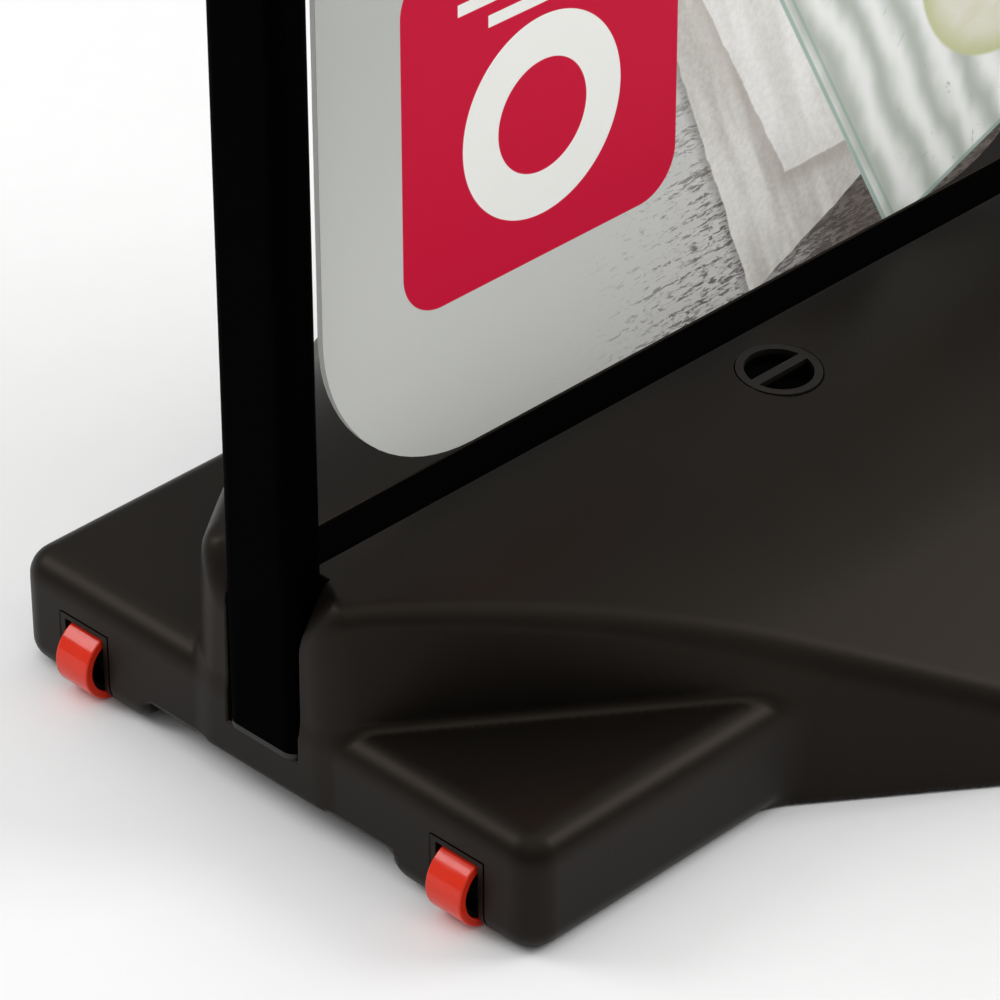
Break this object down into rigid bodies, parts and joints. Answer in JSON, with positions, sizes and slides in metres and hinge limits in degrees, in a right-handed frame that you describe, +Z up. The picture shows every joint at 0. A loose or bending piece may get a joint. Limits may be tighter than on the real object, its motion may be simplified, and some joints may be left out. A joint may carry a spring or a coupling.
{
  "type": "swinging pavement sign",
  "caption": "Pavement sign with a printed board that hangs on hinges in a bent tube frame, on a weighted moulded base with transport wheels.",
  "frame": {"origin": "on the ground, under the middle of the object's box", "axes": "+X along the board, away from the end with the wheels; +Y through the board to its back; +Z up"},
  "size_m": [0.7028, 0.5749, 1.068],
  "materials": {
    "base_plastic": "satin moulded polyethylene",
    "sand": "loose dry sand",
    "frame_paint": "black powder coat, satin",
    "cap_plastic": "satin",
    "zinc_steel": "zinc plated",
    "wheel_plastic": "glossy",
    "core_plastic": "satin moulded",
    "seal_rubber": "matte",
    "bush_plastic": "matte",
    "board_core": "matte foamed sheet",
    "poster_paper": "printed, satin laminate"
  },
  "bodies": {
    "base": {"base_tank": "base_plastic", "sand_ballast": "sand", "wheel_housing_front": "base_plastic", "wheel_housing_rear": "base_plastic", "wheel_axle_front": "zinc_steel", "wheel_axle_rear": "zinc_steel", "frame_hoop": "frame_paint", "cross_rail": "frame_paint", "leg_cap_left": "cap_plastic", "leg_cap_right": "cap_plastic", "leg_plate_left": "zinc_steel", "leg_plate_right": "zinc_steel", "base_bolts": "zinc_steel", "base_washers": "zinc_steel", "hinge_bracket_left": "zinc_steel", "hinge_bracket_right": "zinc_steel", "hinge_pin_left": "zinc_steel", "hinge_pin_right": "zinc_steel", "hinge_clips": "zinc_steel", "bracket_screws": "zinc_steel"},
    "hanging_board": {"sign_panel": "board_core", "poster_front": "poster_paper", "poster_rear": "poster_paper", "hanger_strap_left": "zinc_steel", "hanger_strap_right": "zinc_steel", "hinge_bush_left": "bush_plastic", "hinge_bush_right": "bush_plastic", "clamp_bolts": "zinc_steel", "clamp_nuts": "zinc_steel"},
    "front_wheel": {"wheel_tyre_front": "wheel_plastic", "wheel_core_front": "core_plastic"},
    "rear_wheel": {"wheel_tyre_rear": "wheel_plastic", "wheel_core_rear": "core_plastic"},
    "filler": {"filler_plug": "base_plastic", "plug_seal": "seal_rubber"}
  },
  "joints": [
    {"name": "board_swing", "type": "hinge", "parent": "base", "child": "hanging_board", "pos_m": [0.00375, 0, 1.023], "axis": [1, 0, 0], "range_deg": [-60, 60]},
    {"name": "front_wheel_spin", "type": "hinge", "parent": "base", "child": "front_wheel", "pos_m": [-0.32995, -0.1452, 0.0217], "axis": [0, 1, 0], "continuous": true},
    {"name": "rear_wheel_spin", "type": "hinge", "parent": "base", "child": "rear_wheel", "pos_m": [-0.32995, 0.1452, 0.0217], "axis": [0, 1, 0], "continuous": true},
    {"name": "filler_lift", "type": "slide", "parent": "base", "child": "filler", "axis": [0, -0.0742, 0.9972], "range_m": [0, 0.03]}
  ]
}
